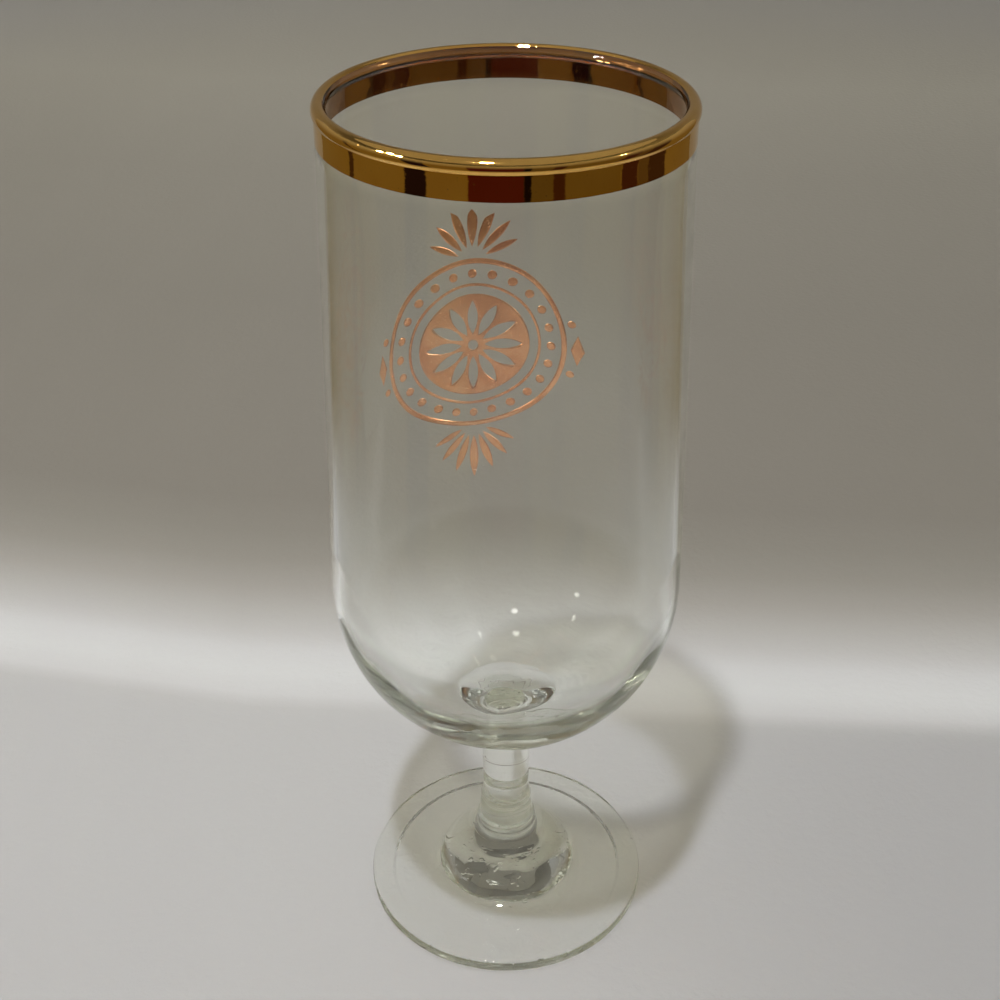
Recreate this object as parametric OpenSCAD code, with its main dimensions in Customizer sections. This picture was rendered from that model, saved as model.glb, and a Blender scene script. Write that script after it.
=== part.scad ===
// Footed beer glass with a gilded rim and a lustre ornament on its wall.
// The origin is the centre of the foot's underside, +Z runs up the glass's axis, and the
// ornament faces +Y.

/* [Bowl] */
// Height of the whole glass, up to the top of its gilded rim
glass_h = 178; // [160:1:200]
// Outside radius of the wall just under the rim
mouth_r = 31.3; // [27:0.1:38]
// Outside radius that the leaning wall reaches where the rounded bottom starts
belly_r = 34.3; // [30:0.1:42]
// Height at which the rounded bottom starts
belly_z = 84; // [72:0.5:95]
// Height at which the rounded bottom meets the axis
bottom_z = 47.5; // [42:0.5:56]
// Thickness of the wall
wall_t = 1.5; // [1:0.1:2.2]
// Thickness of the glass at the middle of the bottom
base_t = 4.4; // [3:0.1:8]

/* [Rim] */
// Radius of the fire-polished bead that ends the wall
bead_r = 1.25; // [1.15:0.05:1.6]
// How far the bead stands out past the wall
bead_bulge = 0.4; // [0.1:0.05:0.7]

/* [Stem] */
// Length of the stub drawn out of the bowl's bottom
stub_len = 5; // [3.5:0.1:8]
// Radius of the stub's flare where it runs into the bottom
stub_flare_r = 11.5; // [9:0.1:16]
// Radius of the stem under the stub
stem_top_r = 5.2; // [4:0.05:6.5]
// Radius of the foot's neck at its waist
waist_r = 4.9; // [3.8:0.05:6]
// Height of that waist
waist_z = 26; // [22:0.5:32]
// How far above the waist the stem is fused to the foot's neck
seam_up = 4.6; // [2:0.1:8]
// Bevel of the two edges that meet in the fine line of a fused joint
seam_bevel = 0.15; // [0.05:0.05:0.3]

/* [Foot] */
// Radius of the foot
foot_r = 30.3; // [28:0.1:36]
// Thickness of the foot at its rim
edge_t = 2.7; // [2.2:0.1:3.4]
// Radius that rounds the rim's two edges
edge_round_r = 0.9; // [0.4:0.05:1]
// Radius of the mound round the neck, where it rises out of the foot's top
mound_r = 15.8; // [13:0.1:20]
// Height of the foot's top there
mound_z = 3.8; // [3.2:0.1:5]
// Radius of the mound's shoulder
shoulder_r = 12.6; // [10.5:0.1:15]
// Height of that shoulder
shoulder_z = 9.5; // [7:0.1:11]
// Radius at which the neck's root rises out of the mound's top
root_r = 8.6; // [7:0.1:10]
// Height of that place
root_z = 12; // [10:0.1:14]
// Radius of the neck above its root
neck_r = 6.35; // [5.2:0.05:7.5]
// Height of that place
neck_z = 14.9; // [13:0.1:17]
// How far the pressed rings stand out of the neck
neck_ring_out = 0.2; // [0.05:0.05:0.4]
// Height of one pressed ring
neck_ring_h = 1.7; // [1:0.1:2.2]
// How far the inner edge of the ring that the glass stands on lies in from the foot's rim
stand_in = 4.3; // [2.5:0.1:8]
// Depth of the hollow inside that ring
hollow_h = 1; // [0.4:0.1:2]

/* [Gilding] */
// Thickness of the gilding, drawn heavier than the real film so that it is a solid
gild_t = 0.1; // [0.06:0.02:0.2]
// Depth of the gilded band below the top of the rim
gild_drop = 6.4; // [4:0.1:12]

/* [Ornament] */
// Thickness of the lustre, drawn heavier than the real film so that it is a solid
lustre_t = 0.1; // [0.06:0.02:0.2]
// Height of the ornament's centre
ornament_z = 117; // [112:1:125]
// Radius of the round shield in the middle
shield_r = 11.5; // [11:0.1:13]
// Radius of the bare dot at the shield's centre
heart_r = 1.1; // [0.6:0.1:1.8]
// Radius at which the bare petals start
petal_root_r = 2.6; // [2.2:0.1:3.2]
// Width of the lustre left outside the petals
shield_rim_w = 1.5; // [0.8:0.1:3]
// Width of one petal
petal_w = 2.2; // [1.2:0.1:2.4]
// Number of petals
petal_count = 12; // [6:1:14]
// Bare width between the shield and the inner hoop
hoop_gap = 1.7; // [0.8:0.1:2.5]
// Width of the inner hoop's line
hoop_in_w = 0.6; // [0.4:0.1:0.8]
// Bare width between the two hoops
hoop_space = 4.25; // [3:0.05:5]
// Width of the outer hoop's line
hoop_out_w = 1.1; // [0.6:0.1:1.4]
// Radius of one bead between the hoops
dot_r = 0.95; // [0.5:0.05:1.2]
// Number of those beads
dot_count = 24; // [12:1:28]
// Bare width between the outer hoop and what stands around it
fan_gap = 0.7; // [0.4:0.1:1.2]
// Number of leaves in each fan, above and below
leaf_count = 7; // [3:2:7]
// Length of a fan's middle leaf
leaf_len = 10.5; // [7:0.1:12]
// Width of that leaf
leaf_w = 2.1; // [1.2:0.1:2.6]
// Bare radius around the point that a fan's leaves spread from
leaf_root_r = 3.2; // [2.8:0.1:4]
// Width of the lozenge at each side
lozenge_w = 2.4; // [1.4:0.1:3]
// Height of that lozenge
lozenge_h = 7; // [4:0.1:8]
// Radius of the two beads beside each lozenge
side_dot_r = 0.8; // [0.5:0.05:1]

/* [Smoothness] */
// Number of straight steps along each long curve
curve_steps = 28; // [12:2:48]

/* [Hidden] */
$fn = 96;

// Cuts run past what they cut by this much
overrun = 1;

// The bead that ends the wall lies under the gilding
bead_z = glass_h - gild_t - bead_r;
bead_centre_r = mouth_r + bead_bulge - bead_r;

// How much the wall leans outwards for each unit that it runs down
wall_lean = (belly_r - mouth_r) / (bead_z - belly_z);

// Height of the joint under the bowl's stub
stub_z = bottom_z - stub_len;

// Radius of the leaning wall's outside at a height
function wall_r(z) = mouth_r + (bead_z - z) * wall_lean;

// A point of the rounded bottom, at an angle that is 0 at the belly and 90 on the axis,
// under glass of some thickness
function bottom_point(angle, thickness) =
    let (z = belly_z - (belly_z - bottom_z - thickness) * sin(angle))
    [(wall_r(z) - thickness) * cos(angle), z];

// Thickness of the bottom at such an angle, which grows late on the way to the axis
thicken_power = 2.2;
function bottom_t(angle) = wall_t + (base_t - wall_t) * pow(sin(angle), thicken_power);

// Points of the outside of the rounded bottom, up from one such angle to the belly
function bottom_outside(from) = [
    for (i = [0 : curve_steps])
        bottom_point(from * (1 - i / curve_steps), 0)
];

// Points of its inside, from the belly down to the axis
function bottom_inside() = [
    for (i = [0 : curve_steps])
        let (angle = 90 * i / curve_steps)
        bottom_point(angle, bottom_t(angle))
];

// Where the stub's flare meets the outside of the bottom
meet_angle = acos(stub_flare_r / wall_r(bottom_z));
meet = bottom_point(meet_angle, 0);

// Points of the stub's hollow flare, which leaves the standing stub and comes to lie flat
// under the bottom. A power of 1 makes it a quarter ellipse and 2 a straight slope. The last
// point is left to the curve that follows.
flare_power = 1.8;
function flare_curve(wall, flat) = [
    for (i = [0 : curve_steps - 1])
        let (angle = 90 * i / curve_steps)
        [
            flat[0] + (wall[0] - flat[0]) * pow(cos(angle), flare_power),
            wall[1] + (flat[1] - wall[1]) * pow(sin(angle), flare_power)
        ]
];

// The neck's three pressed rings, as shares of the way up from its root to its waist
neck_ring_shares = [0.1, 0.26, 0.74];

// How far one pressed ring stands out at a height
function ring_out(z, share) =
    let (off = (z - neck_z - (waist_z - neck_z) * share) / (neck_ring_h / 2))
    abs(off) < 1 ? neck_ring_out * pow(cos(90 * off), 2) : 0;

// A point of the foot's side with the pressed rings added
function ringed(point) =
    [point[0] + max([for (share = neck_ring_shares) ring_out(point[1], share)]), point[1]];

// Corners of the foot's side, from the neck's waist down to the rim
foot_corners = [
    [waist_r, waist_z],
    [neck_r, neck_z],
    [root_r, root_z],
    [shoulder_r, shoulder_z],
    [mound_r, mound_z],
    [foot_r - edge_round_r, edge_t]
];

// How far the curve that rounds each corner runs along its two sides, as shares of them
corner_round_shares = [0.3, 0.45, 0.45, 0.25];

// A point of the curve that rounds a corner, from 0 at its first side to 1 at its second
function corner_point(i, along) =
    let (corner = foot_corners[i])
    corner + corner_round_shares[i - 1] * (
        (foot_corners[i - 1] - corner) * pow(1 - along, 2)
        + (foot_corners[i + 1] - corner) * pow(along, 2)
    );

// Points down the foot's side, from the waist to the top of the rim
neck_steps = 2 * curve_steps;
foot_side = [
    for (i = [0 : neck_steps - 1])
        ringed(foot_corners[0] + (corner_point(1, 0) - foot_corners[0]) * i / neck_steps),
    for (i = [1 : len(foot_corners) - 2], k = [0 : curve_steps])
        ringed(corner_point(i, k / curve_steps))
];

// Radius of the stem, and of the neck above its waist, at a height
function stem_r(z) = waist_r + (stem_top_r - waist_r) * (z - waist_z) / (stub_z - waist_z);

// The joint in which the stem is fused to the foot's neck
seam_z = waist_z + seam_up;
seam_r = stem_r(seam_z);

// Inner radius of the ring that the glass stands on
stand_r = foot_r - stand_in;

// Points round one edge of the foot's rim, whose middle is at a height
edge_steps = 8;
function edge_curve(z, from) = [
    for (i = [0 : edge_steps])
        let (angle = from - 90 * i / edge_steps)
        [foot_r - edge_round_r + edge_round_r * cos(angle), z + edge_round_r * sin(angle)]
];

// Points of the hollow under the foot, from the ring that the glass stands on to the axis
function hollow_curve() = [
    for (i = [0 : curve_steps])
        let (share = 1 - i / curve_steps)
        [stand_r * share, hollow_h * (1 - share * share)]
];

// Height of the gilded band's lower edge
gild_z = glass_h - gild_drop;

// Radii of the ornament's hoops and of the beads between them
hoop_in_r = shield_r + hoop_gap;
hoop_out_r = hoop_in_r + hoop_in_w + hoop_space;
dot_ring_r = hoop_in_r + hoop_in_w + hoop_space / 2;
ornament_r = hoop_out_r + hoop_out_w;

// The leaves of a fan spread evenly, and each is smaller than its inner neighbour
leaf_step_angle = 21;
leaf_drop_share = 0.12;
leaf_half_count = (leaf_count - 1) / 2;
fan_root_z = ornament_r + fan_gap - leaf_root_r * cos(leaf_step_angle * leaf_half_count);

// The beads beside a lozenge stand this angle above and below it
side_dot_angle = 16;

// Lowest and highest places that the ornament reaches
ornament_half_h = fan_root_z + leaf_root_r + leaf_len + fan_gap;
skin_low_z = ornament_z - ornament_half_h;
skin_high_z = ornament_z + ornament_half_h;
skin_straight_z = max(skin_low_z, belly_z);

// Points up the bowl's outside behind the ornament, moved out by some thickness
function skin_curve(out) = concat(
    [
        for (i = [0 : curve_steps - 1])
            if (skin_low_z < belly_z)
                let (from = asin((belly_z - skin_low_z) / (belly_z - bottom_z)))
                let (point = bottom_point(from * (1 - i / curve_steps), 0))
                [point[0] + out, point[1]]
    ],
    [
        [wall_r(skin_straight_z) + out, skin_straight_z],
        [wall_r(skin_high_z) + out, skin_high_z]
    ]
);

function reversed(points) = [for (i = [len(points) - 1 : -1 : 0]) points[i]];

module bowl_section() {
    stub_side = [stem_top_r, stub_z + seam_bevel];
    polygon(concat(
        [[0, stub_z], [stem_top_r - seam_bevel, stub_z]],
        flare_curve(stub_side, meet),
        bottom_outside(meet_angle),
        [[mouth_r, bead_z], [mouth_r - wall_t, bead_z]],
        bottom_inside()
    ));
    translate([bead_centre_r, bead_z])
        circle(r = bead_r);
}

module bowl() {
    color("lightcyan", 0.4)
        rotate_extrude()
            bowl_section();
}

module stem() {
    color("azure", 0.5)
        rotate_extrude()
            polygon([
                [0, seam_z],
                [seam_r - seam_bevel, seam_z],
                [seam_r, seam_z + seam_bevel],
                [stem_top_r, stub_z - seam_bevel],
                [stem_top_r - seam_bevel, stub_z],
                [0, stub_z]
            ]);
}

module foot() {
    color("lightcyan", 0.4)
        rotate_extrude()
            polygon(concat(
                [[0, seam_z], [seam_r - seam_bevel, seam_z], [seam_r, seam_z - seam_bevel]],
                foot_side,
                edge_curve(edge_t - edge_round_r, 90),
                edge_curve(edge_round_r, 0),
                hollow_curve()
            ));
}

// The gilding wraps the bead and runs down the outside of the wall as a band
module gold_rim() {
    color("goldenrod")
        rotate_extrude()
            difference() {
                union() {
                    translate([bead_centre_r, bead_z])
                        circle(r = bead_r + gild_t);
                    polygon([
                        [wall_r(gild_z) - wall_t / 2, gild_z],
                        [wall_r(gild_z) + gild_t, gild_z],
                        [mouth_r + gild_t, bead_z],
                        [mouth_r - wall_t / 2, bead_z]
                    ]);
                }
                bowl_section();
            }
}

// A thin skin on the wall's outside, cut to the outline given on an upright plane
skin_reach = max(belly_r, mouth_r) + lustre_t + overrun;
module on_wall() {
    color("peru")
        intersection() {
            rotate_extrude()
                polygon(concat(skin_curve(0), reversed(skin_curve(lustre_t))));
            translate([0, skin_reach, ornament_z])
                rotate([90, 0, 0])
                    linear_extrude(height = skin_reach)
                        children();
        }
}

// A leaf with two pointed ends that stands up from the origin
module leaf(length, width) {
    arc_r = (length * length + width * width) / (4 * width);
    translate([0, length / 2])
        intersection() {
            translate([arc_r - width / 2, 0])
                circle(r = arc_r);
            translate([width / 2 - arc_r, 0])
                circle(r = arc_r);
        }
}

// A flat ring, from its inner radius and the width of its line
module hoop(inner_r, width) {
    difference() {
        circle(r = inner_r + width);
        circle(r = inner_r);
    }
}

// A round shield with a flower of bare petals
petal_len = shield_r - shield_rim_w - petal_root_r;
module lustre_shield() {
    on_wall()
        difference() {
            circle(r = shield_r);
            circle(r = heart_r);
            for (i = [0 : petal_count - 1])
                rotate(360 * i / petal_count)
                    translate([0, petal_root_r])
                        leaf(petal_len, petal_w);
        }
}

module lustre_hoops() {
    on_wall() {
        hoop(hoop_in_r, hoop_in_w);
        hoop(hoop_out_r, hoop_out_w);
    }
}

module lustre_beads() {
    on_wall()
        for (i = [0 : dot_count - 1])
            rotate(360 * i / dot_count)
                translate([0, dot_ring_r])
                    circle(r = dot_r);
}

// One fan of leaves above the ornament and one below
module lustre_fans() {
    on_wall()
        for (turn = [0, 180], i = [-leaf_half_count : leaf_half_count])
            rotate(turn)
                translate([0, fan_root_z])
                    rotate(leaf_step_angle * i)
                        translate([0, leaf_root_r])
                            let (kept_share = 1 - leaf_drop_share * abs(i))
                            leaf(leaf_len * kept_share, leaf_w * kept_share);
}

// A lozenge and two beads at each side
module lustre_sides() {
    lozenge_x = ornament_r + fan_gap + lozenge_w / 2;
    on_wall()
        for (turn = [0, 180])
            rotate(turn) {
                translate([lozenge_x, 0])
                    polygon([
                        [lozenge_w / 2, 0],
                        [0, lozenge_h / 2],
                        [-lozenge_w / 2, 0],
                        [0, -lozenge_h / 2]
                    ]);
                for (side = [-1, 1])
                    rotate(side_dot_angle * side)
                        translate([ornament_r + fan_gap + side_dot_r, 0])
                            circle(r = side_dot_r);
            }
}

bowl();
stem();
foot();
gold_rim();
lustre_shield();
lustre_hoops();
lustre_beads();
lustre_fans();
lustre_sides();
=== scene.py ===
"""Looks of the footed beer glass: clear glass, a fired gold rim and a copper lustre print.

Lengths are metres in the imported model's frame. The origin is the centre of the foot's
underside, +Z runs up the glass's axis, and the print faces +Y.
"""

import logging
import math
from collections.abc import Callable
from dataclasses import dataclass, field
from enum import Enum

import bmesh
import bpy
import numpy as np
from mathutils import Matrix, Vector


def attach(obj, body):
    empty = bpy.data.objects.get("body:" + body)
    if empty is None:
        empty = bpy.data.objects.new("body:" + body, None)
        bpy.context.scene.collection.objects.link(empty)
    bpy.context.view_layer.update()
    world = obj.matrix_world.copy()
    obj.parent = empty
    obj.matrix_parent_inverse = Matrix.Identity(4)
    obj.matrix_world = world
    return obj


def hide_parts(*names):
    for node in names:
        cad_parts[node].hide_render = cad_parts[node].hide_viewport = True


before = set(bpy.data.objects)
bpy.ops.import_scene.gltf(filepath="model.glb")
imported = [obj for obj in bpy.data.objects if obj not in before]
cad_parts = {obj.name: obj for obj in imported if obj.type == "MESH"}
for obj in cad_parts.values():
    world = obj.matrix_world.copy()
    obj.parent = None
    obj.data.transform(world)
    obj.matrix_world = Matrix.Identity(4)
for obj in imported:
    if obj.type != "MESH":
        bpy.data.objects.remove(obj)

LOG = logging.getLogger("beer_glass")
MM = 0.001
BODY = "root"
SHARP_TURN = 50.0

Points = np.ndarray
Colour = tuple[float, float, float]
Tint = Colour | bpy.types.NodeSocket
Wave = Callable[[np.ndarray, np.ndarray, np.ndarray], np.ndarray]


class Slot(Enum):
    """Material slots of the record."""

    GLASS = "clear_glass"
    GILDING = "gilding"
    LUSTRE = "copper_lustre"


class End(Enum):
    """What a turned profile's two ends do: stop on the axis, or join into a ring."""

    AXIS = "axis"
    RING = "ring"


# Profiles and meshes


def polar(radius: "float | np.ndarray", angle: np.ndarray) -> Points:
    """Returns the radius times the cosine and the sine of the angle, in radians."""
    return np.stack([radius * np.cos(angle), radius * np.sin(angle)], axis=-1)


def around(radius: np.ndarray, angle: np.ndarray, height: np.ndarray) -> Points:
    """Returns the points round the Z axis at some radii, angles and heights, in one list."""
    return np.concatenate([polar(radius, angle), height[..., None]], axis=-1).reshape(-1, 3)


def eased(share: np.ndarray) -> np.ndarray:
    """Returns 3 s^2 - 2 s^3, which leaves 0 and reaches 1 level."""
    return share**2 * (3 - 2 * share)


def arc(
    centre: tuple[float, float], radius: float, start: float, end: float, count: int = 40
) -> Points:
    """Returns points on a circle: the centre plus the radius along each angle, in degrees."""
    return np.array(centre) + polar(radius, np.radians(np.linspace(start, end, count)))


def grid_faces(rows: int, columns: int, first: int = 0) -> list[list[int]]:
    """Joins the points of a grid, numbered row by row, into faces.

    Args:
        rows: Number of rows.
        columns: Number of points in a row.
        first: Number of the first point.

    Returns:
        The corners of each face.
    """
    index = first + np.arange(rows * columns).reshape(rows, columns)
    quads = np.stack([index[:-1, :-1], index[1:, :-1], index[1:, 1:], index[:-1, 1:]], axis=-1)
    return quads.reshape(-1, 4).tolist()


def fair(parts: list[Points], polish: float, turn: float, reach: float) -> Points:
    """Rounds a profile's creases as a fire polish does and spaces its points by how it bends.

    The profile is resampled evenly, blurred along its length by a bell curve, and then
    sampled where the sum of its turning and its length passes equal amounts.

    Args:
        parts: The profile's stretches in order, each the radius and height of its points.
        polish: Spread of the bell curve along the profile, which is resampled in thirds of it.
        turn: Largest turn between two segments of the result, in degrees.
        reach: Largest length of a segment of the result.

    Returns:
        Radius and height of the smooth profile's points.
    """
    def along(line: Points) -> np.ndarray:
        """Returns the distance along a line at each of its points."""
        return np.r_[0, np.cumsum(np.hypot(*np.diff(line, axis=0).T))]

    def at(line: Points, run: np.ndarray, places: np.ndarray) -> Points:
        """Returns the points of a line at some distances along it."""
        return np.column_stack([np.interp(places, run, column) for column in line.T])

    points = np.vstack(parts)
    run = along(points)
    per_spread, half = 3, 12
    count = int(run[-1] / (polish / per_spread)) + 2
    dense = at(points, run, np.linspace(0, run[-1], count))
    bell = np.exp(-0.5 * (np.arange(-half, half + 1) / per_spread) ** 2)
    before = 2 * dense[0] - dense[half:0:-1]
    after = 2 * dense[-1] - dense[-2:-half - 2:-1]
    padded = np.vstack([before, dense, after])
    smooth = np.column_stack(
        [np.convolve(column, bell / bell.sum(), mode="valid") for column in padded.T]
    )
    step = np.diff(smooth, axis=0)
    heading = np.unwrap(np.arctan2(step[:, 1], step[:, 0]))
    bend = np.r_[0, np.abs(np.diff(heading)), 0]
    run = along(smooth)
    spent = (bend[1:] + bend[:-1]) / 2 / math.radians(turn) + np.diff(run) / reach
    cost = np.r_[0, np.cumsum(spent)]
    places = np.interp(np.linspace(0, cost[-1], int(cost[-1]) + 2), cost, run)
    return at(smooth, run, places)


def turned(
    profile: Points, steps: int, ends: End = End.AXIS, wave: Wave | None = None
) -> tuple[Points, list[list[int]]]:
    """Turns a profile round the Z axis: a point is its radius times the cosine and sine of
    the angle, at its height.

    Args:
        profile: Radius and height of each point, running up the outside.
        steps: Number of steps round the axis.
        ends: Whether the first and last points are poles or join into a ring.
        wave: Gives how far the surface stands out along its normal at radius, height, angle.

    Returns:
        The points and the faces, which look outwards.
    """
    closed = ends is End.RING
    rings = profile if closed else profile[1:-1]
    angle = np.linspace(0, 2 * np.pi, steps, endpoint=False)
    radius, theta = np.meshgrid(rings[:, 0], angle, indexing="ij")
    height = np.repeat(rings[:, 1][:, None], steps, axis=1)
    if wave is not None:
        heading = np.gradient(profile, axis=0)
        heading = heading if closed else heading[1:-1]
        normal = np.column_stack([heading[:, 1], -heading[:, 0]]) / np.hypot(*heading.T)[:, None]
        out = wave(radius, height, theta)
        radius, height = radius + out * normal[:, :1], height + out * normal[:, 1:]
    points = around(radius, theta, height)
    count = len(rings)
    index = np.arange(count * steps).reshape(count, steps)
    low = index if closed else index[:-1]
    high = np.roll(index, -1, axis=0) if closed else index[1:]
    quads = np.stack([low, np.roll(low, -1, 1), np.roll(high, -1, 1), high], axis=-1)
    faces = quads.reshape(-1, 4).tolist()
    if not closed:
        first, last = count * steps, count * steps + 1
        poles = np.array([[0, 0, profile[0, 1]], [0, 0, profile[-1, 1]]])
        points = np.vstack([points, poles])
        ring = index[0]
        faces += np.column_stack([np.full(steps, first), np.roll(ring, -1), ring]).tolist()
        ring = index[-1]
        faces += np.column_stack([np.full(steps, last), ring, np.roll(ring, -1)]).tolist()
    return points, faces


def make_piece(
    name: str, points: Points, faces: list[list[int]], materials: list[bpy.types.Material]
) -> bpy.types.Object:
    """Puts points and faces into a smooth mesh object at the origin.

    Args:
        name: The object's name.
        points: The points, in metres.
        faces: The corners of each face.
        materials: The object's materials, the first of which every face starts with.

    Returns:
        The new object.
    """
    mesh = bpy.data.meshes.new(name)
    mesh.from_pydata(points.tolist(), [], faces)
    mesh.polygons.foreach_set("use_smooth", np.ones(len(mesh.polygons), bool))
    mesh.set_sharp_from_angle(angle=math.radians(SHARP_TURN))
    mesh.update()
    piece = bpy.data.objects.new(name, mesh)
    bpy.context.scene.collection.objects.link(piece)
    for material in materials:
        mesh.materials.append(material)
    return piece


# Shader expressions


class Sheet:
    """The nodes of one material or world, and the one way in which nodes are added."""

    def __init__(self, tree: bpy.types.NodeTree) -> None:
        """Starts on an empty tree."""
        self.tree = tree
        self.tree.nodes.clear()

    def node(
        self, kind: str, settings: dict | None = None, sockets: dict | None = None
    ) -> bpy.types.Node:
        """Adds a node.

        Args:
            kind: The node's type.
            settings: Its settings, set first. "stops" fills a colour ramp.
            sockets: A value, a field, a socket or a node, whose first output is meant, for
                each input, by name or number.

        Returns:
            The new node.
        """
        made = self.tree.nodes.new(kind)
        for key, value in (settings or {}).items():
            if key == "stops":
                self.fill(made.color_ramp, value)
            else:
                setattr(made, key, value)
        for key, value in (sockets or {}).items():
            given = value.socket if isinstance(value, Field) else value
            given = given.outputs[0] if isinstance(given, bpy.types.Node) else given
            if isinstance(given, bpy.types.NodeSocket):
                self.tree.links.new(given, made.inputs[key])
            else:
                made.inputs[key].default_value = given
        return made

    @staticmethod
    def fill(ramp: bpy.types.ColorRamp, stops: list[tuple[float, Colour]]) -> None:
        """Sets a colour ramp's stops.

        Args:
            ramp: The ramp.
            stops: The place, from 0 to 1, and the colour of each stop.
        """
        while len(ramp.elements) < len(stops):
            ramp.elements.new(0.5)
        for element, (place, colour) in zip(ramp.elements, stops):
            element.position = place
            element.color = (*colour, 1)

    def field(
        self, kind: str, output: str, settings: dict | None = None, sockets: dict | None = None
    ) -> "Field":
        """Adds a node and returns its named output as a field to calculate with."""
        return Field(self, self.node(kind, settings, sockets).outputs[output])

    def rays(self, *outputs: str) -> list["Field"]:
        """Returns some outputs of one Light Path node."""
        path = self.node("ShaderNodeLightPath")
        return [Field(self, path.outputs[output]) for output in outputs]

    def principled(self, sockets: dict) -> bpy.types.Node:
        """Returns a Principled shader with these sockets set."""
        return self.node("ShaderNodeBsdfPrincipled", sockets=sockets)

    def through(self, colour: Colour = (1, 1, 1)) -> bpy.types.Node:
        """Returns a shader that lets light straight through, tinted."""
        return self.node("ShaderNodeBsdfTransparent", sockets={"Color": (*colour, 1)})

    def finish(self, surface: bpy.types.Node, **more: bpy.types.Node) -> None:
        """Connects the material's surface, and its volume if it has one."""
        self.node("ShaderNodeOutputMaterial", sockets={"Surface": surface, **more})

    def place(self) -> bpy.types.NodeSocket:
        """Returns the Object coordinates."""
        return self.node("ShaderNodeTexCoord").outputs["Object"]

    def axes(self) -> list["Field"]:
        """Returns X, Y and Z of the Object coordinates."""
        split = self.node("ShaderNodeSeparateXYZ", sockets={0: self.place()})
        return [Field(self, output) for output in split.outputs]

    def noise(self, scale: float, detail: float = 2, stretch: Colour = (1, 1, 1)) -> "Field":
        """Returns smooth noise from 0 to 1 on Object coordinates.

        Args:
            scale: Number of lumps in a metre.
            detail: Number of finer layers.
            stretch: What each axis is multiplied by first.

        Returns:
            The noise.
        """
        where = self.node("ShaderNodeMapping", sockets={"Vector": self.place(), "Scale": stretch})
        sockets = {"Vector": where, "Scale": scale, "Detail": detail}
        return self.field("ShaderNodeTexNoise", "Fac", sockets=sockets)

    def mixed(self, share: "Field | float", low: Tint, high: Tint) -> bpy.types.NodeSocket:
        """Mixes two colours.

        Args:
            share: How much of the second one, from 0 to 1.
            low: The first colour.
            high: The second one.

        Returns:
            The socket of the mixed colour.
        """
        ends = [end if isinstance(end, bpy.types.NodeSocket) else (*end, 1) for end in (low, high)]
        sockets = {0: share, 6: ends[0], 7: ends[1]}
        return self.node("ShaderNodeMix", {"data_type": "RGBA"}, sockets).outputs[2]

    def blended(self, share: "Field", low: bpy.types.Node, high: bpy.types.Node) -> bpy.types.Node:
        """Returns a Mix Shader that goes from one shader to another."""
        return self.node("ShaderNodeMixShader", sockets={0: share, 1: low, 2: high})

    def bump(self, height: "Field", depth: float) -> bpy.types.Node:
        """Returns the normal of a surface that height raises by up to depth metres."""
        return self.node("ShaderNodeBump", sockets={"Height": height, "Distance": depth})


def operator(
    operation: str, swapped: bool = False
) -> Callable[["Field", "Field | float"], "Field"]:
    """Makes the method behind one of a field's operators.

    Args:
        operation: The operation of the Math node that the method adds.
        swapped: Whether the field is the node's second input.

    Returns:
        The method.
    """
    def method(self: "Field", other: "Field | float") -> "Field":
        """Returns the operation's result on the field and another value."""
        return self.sum(operation, *((other, self) if swapped else (self, other)))

    return method


class Field:
    """A number that changes over a surface, kept as the socket that gives it.

    Its operators add Math nodes, and a comparison gives 1 where it holds and 0 elsewhere.
    """

    def __init__(self, sheet: Sheet, socket: bpy.types.NodeSocket) -> None:
        """Wraps a socket of the sheet."""
        self.sheet = sheet
        self.socket = socket

    def sum(self, operation: str, *terms: "Field | float", clamp: bool = False) -> "Field":
        """Adds a Math node.

        Args:
            operation: The node's operation.
            terms: Its inputs, in order.
            clamp: Whether the result is held between 0 and 1.

        Returns:
            The result.
        """
        settings = {"operation": operation, "use_clamp": clamp}
        return self.sheet.field("ShaderNodeMath", "Value", settings, dict(enumerate(terms)))

    def __abs__(self) -> "Field":
        """Returns the size of self without its sign."""
        return self.sum("ABSOLUTE", self)

    __add__ = __radd__ = operator("ADD")
    __sub__ = operator("SUBTRACT")
    __rsub__ = operator("SUBTRACT", swapped=True)
    __mul__ = __rmul__ = operator("MULTIPLY")
    __truediv__ = operator("DIVIDE")
    __pow__ = operator("POWER")
    __lt__ = operator("LESS_THAN")
    __gt__ = operator("GREATER_THAN")

    def rise(self, low: float, high: float) -> "Field":
        """Makes a smooth step.

        Args:
            low: Where it is 0.
            high: Where it is 1.

        Returns:
            The step.
        """
        sockets = {"Value": self, "From Min": low, "From Max": high}
        smooth = {"interpolation_type": "SMOOTHSTEP"}
        return self.sheet.field("ShaderNodeMapRange", "Result", smooth, sockets)


def new_material(name: str) -> tuple[bpy.types.Material, Sheet]:
    """Makes an empty node material.

    Args:
        name: The material's name.

    Returns:
        The material and the sheet of its nodes.
    """
    material = bpy.data.materials.new(name)
    material.use_nodes = True
    return material, Sheet(material.node_tree)


# Finishes


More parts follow.
